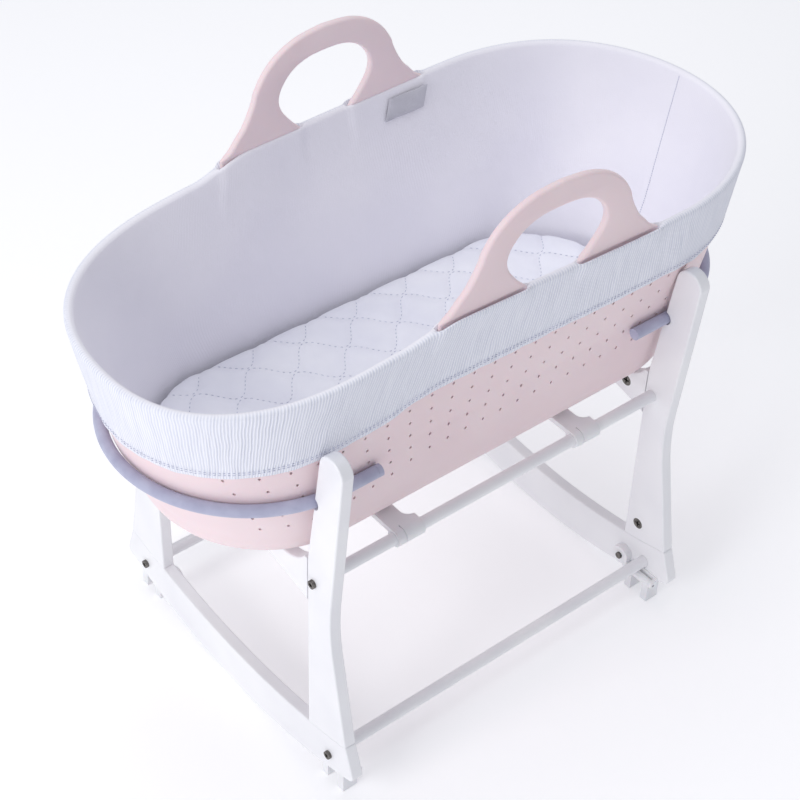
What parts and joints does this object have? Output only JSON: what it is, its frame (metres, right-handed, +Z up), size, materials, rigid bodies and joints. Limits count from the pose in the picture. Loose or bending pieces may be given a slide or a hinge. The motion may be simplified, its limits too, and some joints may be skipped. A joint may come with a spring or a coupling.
{
  "type": "bassinet on stand",
  "caption": "Oval moses basket with moulded perforated shell, carrying handles and fabric liner, standing in a white wooden rocking stand with two end frames and padded hoops.",
  "frame": {"origin": "on the floor, under the middle of the basket", "axes": "+X from the foot end to the head end, +Y to the left-hand side, +Z up"},
  "size_m": [0.8423, 0.4692, 0.735],
  "materials": {
    "stand_paint": "satin white lacquer on beech",
    "rail_paint": "white powder-coated steel tube",
    "zinc": "dark zinc-plated steel",
    "steel": "bright steel",
    "beech": "plain beech",
    "white_nylon": "moulded white nylon",
    "grey_sleeve": "lilac-grey foam sleeve",
    "pink_shell": "pale pink moulded EVA foam",
    "board": "hardboard",
    "jersey": "white ribbed cotton jersey",
    "tag_weave": "grey woven tape",
    "quilt": "white quilted microfibre",
    "foam": "open-cell foam"
  },
  "bodies": {
    "stand": {"rocker_head": "stand_paint", "cross_tie_head": "stand_paint", "cradle_bar_head": "white_nylon", "hoop_core_head": "steel", "hoop_sleeve_head": "grey_sleeve", "leg_head_left": "stand_paint", "leg_head_right": "stand_paint", "rocker_foot": "stand_paint", "cross_tie_foot": "stand_paint", "cradle_bar_foot": "white_nylon", "hoop_core_foot": "steel", "hoop_sleeve_foot": "grey_sleeve", "leg_foot_left": "stand_paint", "leg_foot_right": "stand_paint", "rail_upper_left": "rail_paint", "rail_upper_right": "rail_paint", "rail_lower_left": "rail_paint", "rail_lower_right": "rail_paint", "rail_plugs": "white_nylon", "stop_brackets": "white_nylon", "hoop_end_caps": "grey_sleeve", "rail_bolts": "zinc", "cam_locks": "zinc", "stop_screws": "zinc", "cam_studs": "steel", "hoop_screws": "steel", "stop_pins": "steel", "wood_dowels": "beech"},
    "stop_head_left_body": {"stop_head_left": "white_nylon"},
    "stop_head_right_body": {"stop_head_right": "white_nylon"},
    "stop_foot_left_body": {"stop_foot_left": "white_nylon"},
    "stop_foot_right_body": {"stop_foot_right": "white_nylon"},
    "basket": {"basket_shell": "pink_shell", "liner": "jersey", "liner_tag": "tag_weave", "base_stiffener": "board"},
    "mattress": {"mattress_cover": "quilt", "mattress_core": "foam"}
  },
  "joints": [
    {"name": "stop_head_left_fold", "type": "hinge", "parent": "stand", "child": "stop_head_left_body", "pos_m": [0.229, 0, 0.033], "axis": [0, 1, 0], "range_deg": [0, 170]},
    {"name": "stop_head_right_fold", "type": "hinge", "parent": "stand", "child": "stop_head_right_body", "pos_m": [0.229, 0, 0.033], "axis": [0, 1, 0], "range_deg": [0, 170]},
    {"name": "stop_foot_left_fold", "type": "hinge", "parent": "stand", "child": "stop_foot_left_body", "pos_m": [-0.249, 0, 0.033], "axis": [0, -1, 0], "range_deg": [0, 170]},
    {"name": "stop_foot_right_fold", "type": "hinge", "parent": "stand", "child": "stop_foot_right_body", "pos_m": [-0.249, 0, 0.033], "axis": [0, -1, 0], "range_deg": [0, 170]},
    {"name": "basket_lift", "type": "slide", "parent": "stand", "child": "basket", "axis": [0, 0, 1], "range_m": [0, 0.35]},
    {"name": "mattress_lift", "type": "slide", "parent": "basket", "child": "mattress", "axis": [0, 0, 1], "range_m": [0, 0.4]}
  ]
}
